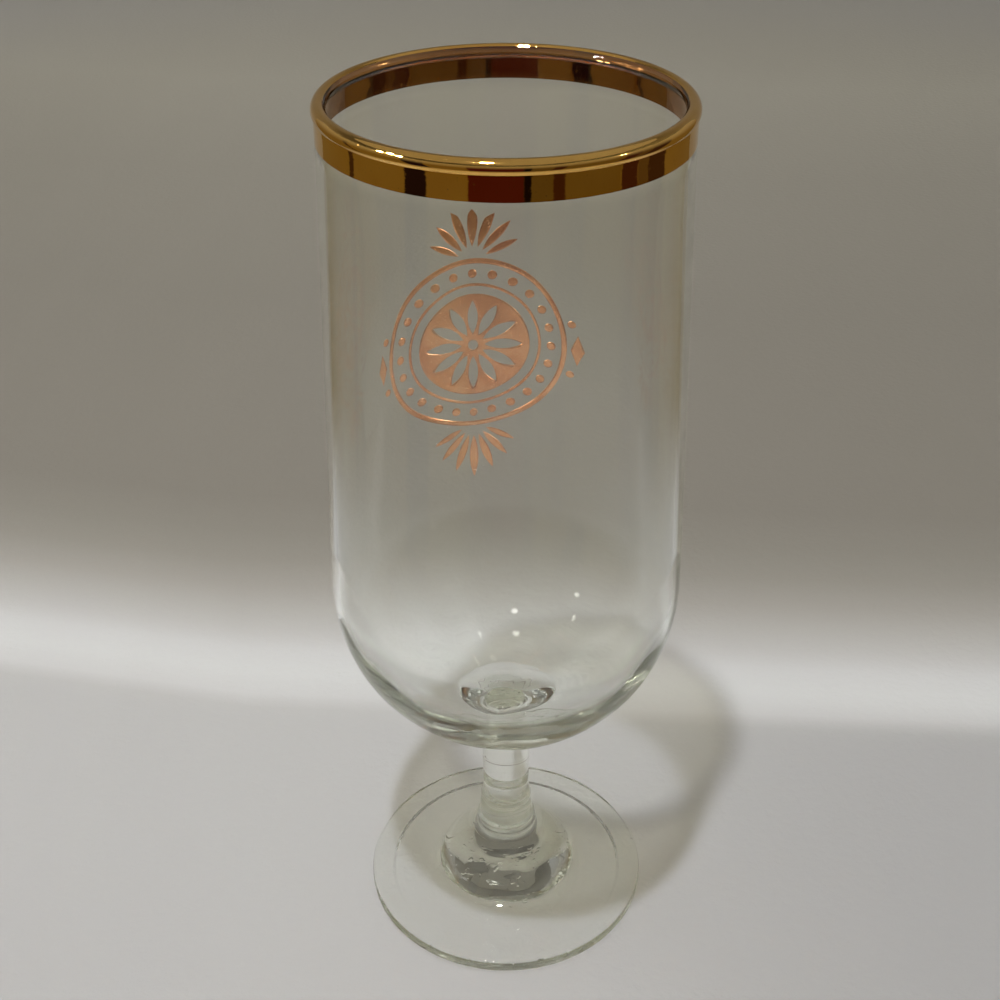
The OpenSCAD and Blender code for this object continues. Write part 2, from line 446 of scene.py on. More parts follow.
@dataclass(frozen=True)
class ClearGlass:
    """Fire-polished soda-lime glass, faintly olive where it is thick.

    The two flat faces in which fused pieces meet let light straight through, so that the
    pieces look like one body of glass. Its shadow is pale, and darker where it is edge-on.
    """

    name: str
    joints: tuple[float, ...]
    ior: float = 1.52
    tint: Colour = (0.82, 0.84, 0.74)
    density: float = 26.0
    clean: Colour = (0.985, 0.995, 0.985)
    smeared: Colour = (0.97, 0.985, 0.97)
    gloss: float = 0.004
    joint_slack: float = 0.01 * MM
    relief_h: float = 0.02 * MM
    seed_share: float = 1.2
    ripple_share: float = 0.1
    shade: Colour = (0.995, 0.995, 0.99)
    edge_shade: Colour = (0.66, 0.635, 0.55)

    def material(self) -> bpy.types.Material:
        """Builds the finish.

        Returns:
            Its material.
        """
        material, sheet = new_material(self.name)
        z = sheet.axes()[2]
        smear = sheet.noise(55, 3, (1, 1, 0.35)).rise(0.5, 0.85)
        ripple = sheet.noise(160, 1, (1, 1, 0.25))
        seeds = sheet.noise(620, 1).rise(0.62, 0.72) * (1 - z.rise(0.03, 0.04))
        relief = ripple * self.ripple_share + seeds * self.seed_share
        glass = sheet.principled(
            {
                "Base Color": sheet.mixed(smear, self.clean, self.smeared),
                "Roughness": self.gloss + smear * 0.012,
                "IOR": self.ior,
                "Transmission Weight": 1.0,
                "Normal": sheet.bump(relief, self.relief_h),
            }
        )
        edge = sheet.field("ShaderNodeLayerWeight", "Facing", sockets={"Blend": 0.5}).rise(0.4, 1.0)
        shadow, diffuse = sheet.rays("Is Shadow Ray", "Is Diffuse Ray")
        lit = shadow + diffuse
        cast = sheet.blended(edge, sheet.through(self.shade), sheet.through(self.edge_shade))
        shader = sheet.blended(lit.sum("MINIMUM", lit, 1), glass, cast)
        for joint in self.joints:
            shader = sheet.blended(abs(z - joint) < self.joint_slack, shader, sheet.through())
        absorbed = {"Color": (*self.tint, 1), "Density": self.density}
        body = sheet.node("ShaderNodeVolumeAbsorption", sockets=absorbed)
        sheet.finish(shader, Volume=body)
        return material


@dataclass(frozen=True)
class FiredGold:
    """A bright fired gold film, brushed on by hand: a little uneven in colour and gloss."""

    name: str
    bright: Colour = (0.93, 0.56, 0.15)
    deep: Colour = (0.80, 0.44, 0.10)
    gloss: float = 0.025
    relief_h: float = 0.004 * MM
    worn: Colour = (0.40, 0.20, 0.05)

    def material(self) -> bpy.types.Material:
        """Builds the finish.

        Returns:
            Its material.
        """
        material, sheet = new_material(self.name)
        cloud = sheet.noise(90, 3).rise(0.3, 0.75)
        stroke = sheet.noise(420, 2, (1, 1, 6)).rise(0.45, 0.8)
        fleck = sheet.noise(2600, 1).rise(0.70, 0.78)
        film = sheet.mixed(cloud * 0.7, self.bright, self.deep)
        gold = sheet.principled(
            {
                "Base Color": sheet.mixed(fleck * 0.5, film, self.worn),
                "Metallic": 1.0,
                "Roughness": self.gloss + stroke * 0.03 + fleck * 0.2,
                "Normal": sheet.bump(stroke + cloud, self.relief_h),
            }
        )
        sheet.finish(gold)
        return material


@dataclass(frozen=True)
class CopperLustre:
    """A printed film of copper-pink lustre, speckled by its screen and thin in places."""

    name: str
    bright: Colour = (0.98, 0.52, 0.28)
    deep: Colour = (0.74, 0.34, 0.17)
    worn: Colour = (0.30, 0.16, 0.10)
    gloss: float = 0.10
    relief_h: float = 0.015 * MM

    def material(self) -> bpy.types.Material:
        """Builds the finish.

        Returns:
            Its material.
        """
        material, sheet = new_material(self.name)
        cloud = sheet.noise(130, 3).rise(0.35, 0.7)
        grain = sheet.noise(3800, 2)
        pit = grain.rise(0.62, 0.7)
        film = sheet.mixed(cloud, self.bright, self.deep)
        lustre = sheet.principled(
            {
                "Base Color": sheet.mixed(pit * 0.6, film, self.worn),
                "Metallic": 0.95 - pit * 0.3,
                "Roughness": self.gloss + cloud * 0.06 + pit * 0.25,
                "Normal": sheet.bump(grain, self.relief_h),
            }
        )
        sheet.finish(lustre)
        return material


# The glass


@dataclass(frozen=True)
class GlassForm:
    """Sizes that more than one piece of the glass uses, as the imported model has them."""

    glass_h: float = 178 * MM
    mouth_r: float = 31.3 * MM
    belly_r: float = 34.3 * MM
    belly_z: float = 84 * MM
    bottom_z: float = 47.5 * MM
    bead_r: float = 1.25 * MM
    bead_bulge: float = 0.4 * MM
    gild_t: float = 0.1 * MM
    gild_drop: float = 6.4 * MM
    gild_over: float = 38.0
    stub_len: float = 5 * MM
    stem_top_r: float = 5.2 * MM
    waist_r: float = 4.9 * MM
    waist_z: float = 26 * MM
    seam_up: float = 4.6 * MM
    seam_bevel: float = 0.15 * MM
    joint_gap: float = 0.002 * MM
    polish: float = 0.09 * MM

    @property
    def bead_start(self) -> float:
        """Angle below the bead's level at which the wall's outside meets it, in degrees."""
        return math.degrees(math.acos((self.mouth_r - self.bead_centre_r) / self.bead_r))

    @property
    def bead_z(self) -> float:
        """Height of the middle of the rim's bead."""
        return self.glass_h - self.gild_t - self.bead_r

    @property
    def bead_centre_r(self) -> float:
        """Radius of the middle of the rim's bead."""
        return self.mouth_r + self.bead_bulge - self.bead_r

    @property
    def stub_z(self) -> float:
        """Height of the joint between the bowl's stub and the stem."""
        return self.bottom_z - self.stub_len

    @property
    def seam_z(self) -> float:
        """Height of the joint between the stem and the foot."""
        return self.waist_z + self.seam_up

    @property
    def gild_z(self) -> float:
        """Height of the gilded band's lower edge."""
        return self.glass_h - self.gild_drop

    def wall_r(self, z: "float | np.ndarray") -> "float | np.ndarray":
        """Returns the radius of the leaning wall's outside at a height."""
        lean = (self.belly_r - self.mouth_r) / (self.bead_z - self.belly_z)
        return self.mouth_r + (self.bead_z - z) * lean

    def outside_r(self, z: np.ndarray) -> np.ndarray:
        """Returns the radius of the bowl's outside, wall and rounded bottom, at some heights."""
        drop = np.clip((self.belly_z - z) / (self.belly_z - self.bottom_z), 0, 1)
        return self.wall_r(z) * np.sqrt(1 - drop**2)

    def stem_r(self, z: float) -> float:
        """Returns the radius of the stem at a height."""
        share = (z - self.waist_z) / (self.stub_z - self.waist_z)
        return self.waist_r + (self.stem_top_r - self.waist_r) * share


def place_in_frame(piece: bpy.types.Object, slot: Slot, *nodes: str) -> bpy.types.Object:
    """Lets a piece ride on the body and stand for its CAD nodes, which it hides.

    Args:
        piece: The piece.
        slot: Not used.
        nodes: The CAD nodes that it stands for.

    Returns:
        The piece.
    """
    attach(piece, BODY)
    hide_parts(*nodes)
    LOG.info("%s: %d faces, stands for %s", piece.name, len(piece.data.polygons), ", ".join(nodes))
    return piece


def flare(wall: tuple[float, float], flat: tuple[float, float], fill: float) -> Points:
    """Returns a hollow curve that leaves a standing wall and ends lying flat: a quarter of an
    ellipse whose cosine and sine are raised to a power.

    Args:
        wall: Radius and height where it leaves the wall.
        flat: Radius and height where it lies flat.
        fill: The power, from 1 for the ellipse to 2 for a straight slope.

    Returns:
        Radius and height of each point.
    """
    angle = np.linspace(0, np.pi / 2, 60)
    across, down = np.cos(angle) ** fill, np.sin(angle) ** fill
    across[-1] = 0
    radius = flat[0] + (wall[0] - flat[0]) * across
    height = wall[1] + (flat[1] - wall[1]) * down
    return np.column_stack([radius, height])


@dataclass(frozen=True)
class Bowl:
    """The blown bowl with the stub drawn from its bottom."""

    form: GlassForm
    wall_t: float = 1.5 * MM
    base_t: float = 4.4 * MM
    stub_flare_r: float = 11.5 * MM
    stub_fill: float = 1.8
    thicken: float = 2.2
    wobble: float = 0.035 * MM
    ring_wobble: float = 0.008 * MM
    ring_top: float = 12 * MM
    ring_in_r: float = 9 * MM
    fade: float = 8 * MM
    pole_r: float = 10 * MM
    flare_wobble: float = 0.3 * MM
    heart_r: float = 7.5 * MM
    heart_w: float = 2 * MM
    heart_top: float = 3 * MM
    heart_span: float = 0.1
    steps: int = 192

    def bottom(self, start: float, end: float, inside: bool = False) -> Points:
        """Returns points of the rounded bottom: an ellipse below the belly whose radius
        also follows the leaning wall. On the inside the glass thickens with a power of the
        angle's sine, late on the way to the axis.

        Args:
            start: First angle, in degrees, 0 at the belly and 90 on the axis.
            end: Last angle.
            inside: Whether the points lie on the inside.

        Returns:
            Radius and height of each point.
        """
        angle = np.radians(np.linspace(start, end, 160))
        form = self.form
        thick = self.wall_t + (self.base_t - self.wall_t) * np.sin(angle) ** self.thicken
        thick = thick if inside else 0
        height = form.belly_z - (form.belly_z - form.bottom_z - thick) * np.sin(angle)
        return np.column_stack([(form.wall_r(height) - thick) * np.cos(angle), height])

    def profile(self) -> Points:
        """Draws the outline from the joint, up the outside, over the bead and down inside.

        Returns:
            Radius and height of each point.
        """
        form = self.form
        low = form.stub_z + form.joint_gap / 2
        meet = math.degrees(math.acos(self.stub_flare_r / form.wall_r(form.bottom_z)))
        outside = self.bottom(meet, 0)
        gild_edge = np.array([form.wall_r(form.gild_z), form.gild_z])
        centre = (form.bead_centre_r, form.bead_z)
        inner = math.degrees(math.acos((form.mouth_r - self.wall_t - centre[0]) / form.bead_r))
        line = fair(
            [
                [[0, low]],
                flare((form.stem_top_r, low), tuple(outside[0]), self.stub_fill)[:-1],
                outside,
                arc(centre, form.bead_r, -form.bead_start, 360 - inner, 90),
                self.bottom(0, 90, inside=True),
            ],
            form.polish,
            2.6,
            2.2 * MM,
        )
        above = np.argmax(line[:, 1] > form.gild_z)
        return np.insert(line, above, gild_edge, axis=0)

    def wave(self, radius: np.ndarray, height: np.ndarray, angle: np.ndarray) -> np.ndarray:
        """Works out the blown glass's faint unevenness: lobes round the axis that drift with
        height on the wall's inside, rings round the bottom that drift with the angle, and one
        soft lobe on the stub's flare, opposite the camera, that is a bell curve of the radius
        and the angle.

        Args:
            radius: Radius of each point.
            height: Height of each point.
            angle: Angle of each point, in radians.

        Returns:
            How far the surface stands out at each point.
        """
        form = self.form
        inside = np.clip((form.wall_r(height) - radius) / self.wall_t, 0, 1)
        free = np.clip((form.gild_z - height) / self.fade, 0, 1)
        free = free * np.clip(radius / self.pole_r, 0, 1)
        lobes = sum(
            size * np.cos(count * angle + phase + drift * height / form.glass_h)
            for size, count, phase, drift in ((1, 5, 0.4, 2), (0.7, 9, 2.1, -3), (0.5, 14, 4.0, 2))
        )
        low = np.clip((form.bottom_z + self.ring_top - height) / self.fade, 0, 1)
        low = low * np.clip((radius - self.ring_in_r) / (7 * MM), 0, 1)
        rings = sum(
            size * np.sin(2 * np.pi * height / pitch + count * angle + phase)
            for size, pitch, count, phase in (
                (1, 4.3 * MM, 1, 0.5), (0.8, 2.9 * MM, -2, 1.9), (0.5, 1.9 * MM, 3, 3.1)
            )
        )
        away = angle - np.radians(90 + PhotoCamera.azimuth)
        under = (height < form.bottom_z + self.heart_top) & (height > form.stub_z + 0.1 * MM)
        flared = under * np.exp(-(((radius - self.heart_r) / self.heart_w) ** 2))
        heart = self.flare_wobble * np.exp((np.cos(away) - 1) / self.heart_span) * flared
        return self.wobble * lobes * free * inside + self.ring_wobble * rings * low + heart

    def build(self, glass: bpy.types.Material, gold: bpy.types.Material) -> bpy.types.Object:
        """Builds the bowl.

        Args:
            glass: The glass.
            gold: The back of the gilding, as it shows through the glass.

        Returns:
            The bowl.
        """
        shape = turned(self.profile(), self.steps, wave=self.wave)
        piece = make_piece("bowl_glass", *shape, [glass, gold])
        centres = np.zeros(len(piece.data.polygons) * 3)
        piece.data.polygons.foreach_get("center", centres)
        centres = centres.reshape(-1, 3)
        radius, height = np.hypot(*centres.T[:2]), centres[:, 2]
        form = self.form
        round_bead = np.degrees(np.arctan2(height - form.bead_z, radius - form.bead_centre_r))
        band = (height > form.gild_z) & (radius > form.wall_r(height) - self.wall_t / 2)
        gilded = band & (round_bead < 90 + form.gild_over)
        piece.data.polygons.foreach_set("material_index", gilded.astype(np.int32))
        return place_in_frame(piece, Slot.GLASS, "bowl")


@dataclass(frozen=True)
class Stem:
    """The stem rod between the stub and the foot."""

    form: GlassForm
    steps: int = 128

    def build(self, glass: bpy.types.Material) -> bpy.types.Object:
        """Builds the stem.

        Args:
            glass: The glass.

        Returns:
            The stem.
        """
        form = self.form
        low, high = form.seam_z + form.joint_gap / 2, form.stub_z - form.joint_gap / 2
        low_r = form.stem_r(form.seam_z)
        corners = [
            [0, low],
            [low_r - form.seam_bevel, low],
            [low_r, form.seam_z + form.seam_bevel],
            [form.stem_top_r, high],
            [0, high],
        ]
        profile = fair([corners], form.polish / 2, 4, 0.5 * MM)
        piece = make_piece("stem_glass", *turned(profile, self.steps), [glass])
        return place_in_frame(piece, Slot.GLASS, "stem")


@dataclass(frozen=True)
class Foot:
    """The pressed foot, its neck and the neck's rings."""

    form: GlassForm
    foot_r: float = 30.3 * MM
    edge_t: float = 2.7 * MM
    edge_round_r: float = 0.9 * MM
    mound: tuple[float, float] = (15.8 * MM, 3.8 * MM)
    shoulder: tuple[float, float] = (12.6 * MM, 9.5 * MM)
    root: tuple[float, float] = (8.6 * MM, 12 * MM)
    neck: tuple[float, float] = (6.35 * MM, 14.9 * MM)
    round_shares: tuple[float, ...] = (0.25, 0.45, 0.45, 0.3)
    ring_out: float = 0.2 * MM
    ring_h: float = 1.7 * MM
    ring_shares: tuple[float, ...] = (0.1, 0.26, 0.74)
    stand_in: float = 4.3 * MM
    hollow_h: float = 1 * MM
    step_h: float = 0.45 * MM
    step_w: float = 1.3 * MM
    wobble: float = 0.06 * MM
    ripple_out: float = 3 * MM
    ripple_fade: float = 5 * MM
    climb: float = 0.7
    pole_r: float = 3 * MM
    steps: int = 192

    def side(self) -> Points:
        """Draws the foot's side from the rim's top up to the waist: straight lines through
        corners, each corner rounded by a quadratic curve that leaves both lines at a share
        of their lengths.

        Returns:
            Radius and height of each point.
        """
        form = self.form
        top = (self.foot_r - self.edge_round_r, self.edge_t)
        waist = (form.waist_r, form.waist_z)
        corners = np.array([top, self.mound, self.shoulder, self.root, self.neck, waist])
        along = np.linspace(0, 1, 40)[:, None]
        curves = [
            corner + share * ((before - corner) * (1 - along) ** 2 + (after - corner) * along**2)
            for before, corner, after, share in zip(
                corners, corners[1:], corners[2:], self.round_shares
            )
        ]
        rise = np.linspace(0, 1, 160)[:, None]
        neck = curves[-1][-1] * (1 - rise) + corners[-1] * rise
        return np.vstack([corners[:1], *curves, neck[1:]])

    def ringed(self, line: Points) -> Points:
        """Adds the neck's pressed rings: each is a bulge whose height is the square of a
        cosine of the distance from its middle.

        Args:
            line: Radius and height of each point of the side.

        Returns:
            The same line with the rings.
        """
        radius, height = line.T
        for share in self.ring_shares:
            middle = self.neck[1] + (self.form.waist_z - self.neck[1]) * share
            off = np.clip((height - middle) / (self.ring_h / 2), -1, 1)
            radius = radius + self.ring_out * np.cos(np.pi / 2 * off) ** 2
        return np.column_stack([radius, height])

    def profile(self) -> Points:
        """Draws the outline from the axis under the foot, round its edge and up the neck: the
        hollow is a parabola above an eased step, and quarter circles round the edge.

        Returns:
            Radius and height of each point.
        """
        form = self.form
        stand_r = self.foot_r - self.stand_in
        radius = np.linspace(0, stand_r, 240)
        step = self.step_h * eased(np.clip((stand_r - radius) / self.step_w, 0, 1))
        dome = (self.hollow_h - self.step_h) * (1 - (radius / stand_r) ** 2)
        rim_r, round_r = self.foot_r - self.edge_round_r, self.edge_round_r
        seam_r, bevel = form.stem_r(form.seam_z), form.seam_bevel
        high = form.seam_z - form.joint_gap / 2
        return fair(
            [
                np.column_stack([radius, step + dome]),
                arc((rim_r, round_r), round_r, -90, 0),
                arc((rim_r, self.edge_t - round_r), round_r, 0, 90),
                self.ringed(self.side()[1:]),
                [[seam_r, form.seam_z - bevel], [seam_r - bevel, high], [0, high]],
            ],
            form.polish,
            3,
            1.5 * MM,
        )

    def wave(self, radius: np.ndarray, height: np.ndarray, angle: np.ndarray) -> np.ndarray:
        """Works out the pressed foot's faint unevenness: ripples that run in spirals over the
        mound, and none on the ring that it stands on.

        Args:
            radius: Radius of each point.
            height: Height of each point.
            angle: Angle of each point, in radians.

        Returns:
            How far the surface stands out at each point.
        """
        form = self.form
        near = np.clip((self.mound[0] + self.ripple_out - radius) / self.ripple_fade, 0, 1)
        free = near * np.clip((form.seam_z - 4 * MM - height) / (6 * MM), 0, 1)
        run = radius + self.climb * height
        ripples = sum(
            size * np.sin(2 * np.pi * run / pitch + count * angle + phase)
            for size, pitch, count, phase in (
                (1, 5.6 * MM, 1, 0.3), (0.8, 3.7 * MM, -3, 2.2), (0.6, 7.9 * MM, 4, 4.4)
            )
        )
        return self.wobble * ripples * free * np.clip(radius / self.pole_r, 0, 1)

    def build(self, glass: bpy.types.Material) -> bpy.types.Object:
        """Builds the foot.

        Args:
            glass: The glass.

        Returns:
            The foot.
        """
        shape = turned(self.profile(), self.steps, wave=self.wave)
        piece = make_piece("foot_glass", *shape, [glass])
        return place_in_frame(piece, Slot.GLASS, "foot")


@dataclass(frozen=True)
class GoldRim:
    """The fired gold over the bead and down the outside as a band."""

    form: GlassForm
    edge_t: float = 0.014 * MM
    clearance: float = 0.006 * MM
    steps: int = 256

    def build(self, gold: bpy.types.Material) -> bpy.types.Object:
        """Builds the gilding: the glass's outline, moved out by the clearance and by a film
        that thickens from the band's edge towards the bead.

        Args:
            gold: The gold.

        Returns:
            The gilding.
        """
        form = self.form
        start, end = -form.bead_start, 90 + form.gild_over
        bead = arc((form.bead_centre_r, form.bead_z), form.bead_r, start, end, 90)
        height = np.linspace(form.gild_z, bead[0, 1], 24)
        wall = np.column_stack([form.wall_r(height), height])
        line = fair([wall[:-1], bead], form.polish, 5, 0.8 * MM)
        heading = np.gradient(line, axis=0)
        out = np.column_stack([heading[:, 1], -heading[:, 0]])
        out /= np.linalg.norm(out, axis=1)[:, None]
        share = np.clip((line[:, 1] - form.gild_z) / (form.bead_z - form.gild_z), 0, 1)
        film = self.edge_t + (form.gild_t - self.edge_t) * eased(share)
        film[-3:] = np.linspace(form.gild_t, self.edge_t, 3)
        outside = line + out * film[:, None]
        inside = line + out * self.clearance
        profile = np.vstack([outside, inside[::-1]])
        piece = make_piece("rim_gold", *turned(profile, self.steps, End.RING), [gold])
        return place_in_frame(piece, Slot.GILDING, "gold_rim")


# The print


@dataclass
class Print:
    """The lustre print, whose motifs are drawn on an upright plane and laid on the wall."""

    form: GlassForm
    lustre: bpy.types.Material
    centre_z: float = 117 * MM
    clearance: float = 0.012 * MM
    film: float = 0.06 * MM
    shield_r: float = 11.5 * MM
    heart_r: float = 1.1 * MM
    petal_root_r: float = 2.6 * MM
    shield_rim_w: float = 1.5 * MM
    petal_w: float = 2.2 * MM
    petal_count: int = 12
    hoop_gap: float = 1.7 * MM
    hoop_in_w: float = 0.6 * MM
    hoop_space: float = 4.25 * MM
    hoop_out_w: float = 1.1 * MM
    dot_r: float = 0.95 * MM
    dot_count: int = 24
    fan_gap: float = 0.7 * MM
    leaf_count: int = 7
    leaf_len: float = 10.5 * MM
    leaf_w: float = 2.1 * MM
    leaf_root_r: float = 3.2 * MM
    leaf_step: float = 21.0
    leaf_drop: float = 0.12
    lozenge_w: float = 2.4 * MM
    lozenge_h: float = 7 * MM
    side_dot_r: float = 0.8 * MM
    side_dot_angle: float = 16.0
    weld: float = 0.002 * MM
    pieces: list[bpy.types.Object] = field(default_factory=list)

    @property
    def hoop_in_r(self) -> float:
        """Inner radius of the inner hoop."""
        return self.shield_r + self.hoop_gap

    @property
    def hoop_out_r(self) -> float:
        """Inner radius of the outer hoop."""
        return self.hoop_in_r + self.hoop_in_w + self.hoop_space

    @property
    def ornament_r(self) -> float:
        """Outer radius of the outer hoop."""
        return self.hoop_out_r + self.hoop_out_w

    @staticmethod
    def half_width(along: np.ndarray, length: float, width: float) -> np.ndarray:
        """Returns half the width of a leaf between two circles at a distance from its tip:
        the height of a circle's arc over its chord."""
        bow = (length**2 + width**2) / (4 * width)
        return np.sqrt(np.maximum(bow**2 - (along - length / 2) ** 2, 0)) - (bow - width / 2)

    @staticmethod
    def spun(patch: Points, degrees: float) -> Points:
        """Returns a patch turned round the origin of the drawing."""
        across, up = polar(1.0, np.radians(degrees)), polar(1.0, np.radians(degrees + 90))
        return patch[..., :1] * across + patch[..., 1:] * up

    def disc(self, radius: float, where: tuple[float, float]) -> Points:
        """Returns a round patch: a ring without a hole, moved to its place."""
        return self.hoop(0, radius, 17) + np.array(where)

    def hoop(self, inner_r: float, width: float, count: int = 181) -> Points:
        """Returns a flat ring: each radius along the direction of each angle."""
        radius = np.linspace(inner_r, inner_r + width, 4)
        return polar(radius[:, None], np.linspace(0, 2 * np.pi, count)[None, :])

    def leaf(self, length: float, width: float, root: float, degrees: float) -> Points:
        """Draws a leaf: its half width times a share from side to side.

        Args:
            length: Its length.
            width: Its width in the middle.
            root: How far from the origin it starts.
            degrees: Its turn round the origin, 0 pointing up.

        Returns:
            The patch.
        """
        along, side = np.meshgrid(np.linspace(0, length, 25), np.linspace(-1, 1, 7), indexing="ij")
        across = side * self.half_width(along, length, width)
        return self.spun(np.stack([across, root + along], -1), degrees)

    def sector(self, degrees: float) -> Points:
        """Draws the part of the shield between two petals: each row is an arc from one
        petal's edge to the next one's.

        Args:
            degrees: Its turn round the origin.

        Returns:
            The patch.
        """
        length = self.shield_r - self.shield_rim_w - self.petal_root_r
        along = length * (1 - np.cos(np.linspace(0, np.pi, 41))) / 2
        half = self.half_width(along, length, self.petal_w)
        radius = np.hypot(half, self.petal_root_r + along)
        start = np.arctan2(half, self.petal_root_r + along)
        root = np.linspace(self.heart_r, self.petal_root_r, 6)[:-1]
        rim = np.linspace(self.petal_root_r + length, self.shield_r, 6)[1:]
        radius = np.r_[root, radius, rim]
        start = np.r_[root * 0, start, rim * 0]
        step = 2 * np.pi / self.petal_count
        angle = start[:, None] + (step - 2 * start[:, None]) * np.linspace(0, 1, 9)[None, :]
        return self.spun(polar(radius[:, None], np.pi / 2 - angle), degrees)

    def lay(self, name: str, node: str, patches: list[Points]) -> None:
        """Lays patches on the wall as one piece: x and z as drawn, and y where the wall's
        circle at that height has that x.

        Args:
            name: The piece's name.
            node: The CAD node that it stands for.
            patches: Grids of drawn points.
        """
        points, faces, used = [], [], 0
        for patch in patches:
            x, z = patch[..., 0].ravel(), patch[..., 1].ravel() + self.centre_z
            radius = self.form.outside_r(z) + self.clearance
            points.append(np.column_stack([x, np.sqrt(radius**2 - x**2), z]))
            faces += grid_faces(*patch.shape[:2], used)
            used += len(x)
        piece = make_piece(name, np.vstack(points), faces, [self.lustre])
        self.close(piece)
        self.pieces.append(place_in_frame(piece, Slot.LUSTRE, node))

    def close(self, piece: bpy.types.Object) -> None:
        """Joins a piece's patches where they meet, turns them outwards and gives them the
        film's thickness.

        Args:
            piece: The piece.
        """
        shape = bmesh.new()
        shape.from_mesh(piece.data)
        bmesh.ops.remove_doubles(shape, verts=shape.verts, dist=self.weld)
        bmesh.ops.dissolve_degenerate(shape, edges=shape.edges, dist=self.weld / 2)
        shape.normal_update()
        inward = [face for face in shape.faces if face.normal.y < 0]
        bmesh.ops.reverse_faces(shape, faces=inward)
        shape.to_mesh(piece.data)
        shape.free()
        thick = piece.modifiers.new("film", "SOLIDIFY")
        thick.thickness = self.film
        thick.offset = 1
        thick.use_even_offset = False

    def build(self) -> list[bpy.types.Object]:
        """Builds every motif.

        Returns:
            The pieces.
        """
        step = 360 / self.petal_count
        sectors = [self.sector(step * i) for i in range(self.petal_count)]
        self.lay("print_shield", "lustre_shield", sectors)
        sizes = (self.hoop_in_r, self.hoop_in_w), (self.hoop_out_r, self.hoop_out_w)
        self.lay("print_hoops", "lustre_hoops", [self.hoop(*size) for size in sizes])
        dot_ring = self.hoop_in_r + self.hoop_in_w + self.hoop_space / 2
        dot = self.disc(self.dot_r, (0, dot_ring))
        dots = [self.spun(dot, 360 * i / self.dot_count) for i in range(self.dot_count)]
        self.lay("print_beads", "lustre_beads", dots)
        half = (self.leaf_count - 1) // 2
        root_r = self.leaf_root_r
        low = root_r * math.cos(math.radians(self.leaf_step * half))
        leaves = []
        for i in range(-half, half + 1):
            kept = 1 - self.leaf_drop * abs(i)
            leaf = self.leaf(self.leaf_len * kept, self.leaf_w * kept, root_r, self.leaf_step * i)
            raised = leaf + np.array([0, self.ornament_r + self.fan_gap - low])
            leaves += [raised, self.spun(raised, 180)]
        self.lay("print_fans", "lustre_fans", leaves)
        middle = self.ornament_r + self.fan_gap + self.lozenge_w / 2
        across, up = np.meshgrid(np.linspace(-1, 1, 7), np.linspace(-1, 1, 17))
        across = middle + across * (1 - np.abs(up)) * self.lozenge_w / 2
        lozenge = np.stack([across, up * self.lozenge_h / 2], -1)
        dot = self.disc(self.side_dot_r, (self.ornament_r + self.fan_gap + self.side_dot_r, 0))
        side = [lozenge, self.spun(dot, self.side_dot_angle), self.spun(dot, -self.side_dot_angle)]
        self.lay("print_sides", "lustre_sides", side + [self.spun(patch, 180) for patch in side])
        return self.pieces


# The studio


@dataclass(frozen=True)
class PhotoCamera:
    """The camera, where the fit to the photograph puts it."""

    azimuth: float = -11.9
    distance: float = 0.2316
    height: float = 0.2489
    tilt: float = 57.19
    lens: float = 51.65
    shift_x: float = -0.006

    def build(self) -> bpy.types.Object:
        """Makes the scene's camera.

        Returns:
            The camera.
        """
        data = bpy.data.cameras.new("photo_camera")
        data.lens = self.lens
        data.sensor_width = 36
        data.shift_x = self.shift_x
        data.clip_start = 0.01
        camera = bpy.data.objects.new("photo_camera", data)
        turn = math.radians(self.azimuth)
        side, front = math.sin(turn) * self.distance, -math.cos(turn) * self.distance
        camera.location = (side, front, self.height)
        camera.rotation_euler = (math.radians(self.tilt), 0, turn)
        bpy.context.scene.collection.objects.link(camera)
        bpy.context.scene.camera = camera
        return camera


@dataclass(frozen=True)
class Lamp:
    """A round lamp that looks at the glass. One that only glints shows in glass and gold and
    lights nothing, and any other lights the glass and doesn't show."""

    name: str
    where: tuple[float, float, float]
    size: float
    power: float
    colour: Colour = (1.0, 0.98, 0.955)
    glint_only: bool = True

    def build(self) -> bpy.types.Object:
        """Makes the lamp.

        Returns:
            The lamp.
        """
        data = bpy.data.lights.new(self.name, "AREA")
        data.shape = "DISK"
        data.size = self.size
        data.energy = self.power
        data.color = self.colour
        lamp = bpy.data.objects.new(self.name, data)
        lamp.location = self.where
        look = Vector((0, 0, 0.08)) - Vector(self.where)
        lamp.rotation_euler = look.to_track_quat("-Z", "Y").to_euler()
        lamp.visible_diffuse = not self.glint_only
        lamp.visible_glossy = lamp.visible_transmission = self.glint_only
        bpy.context.scene.collection.objects.link(lamp)
        return lamp


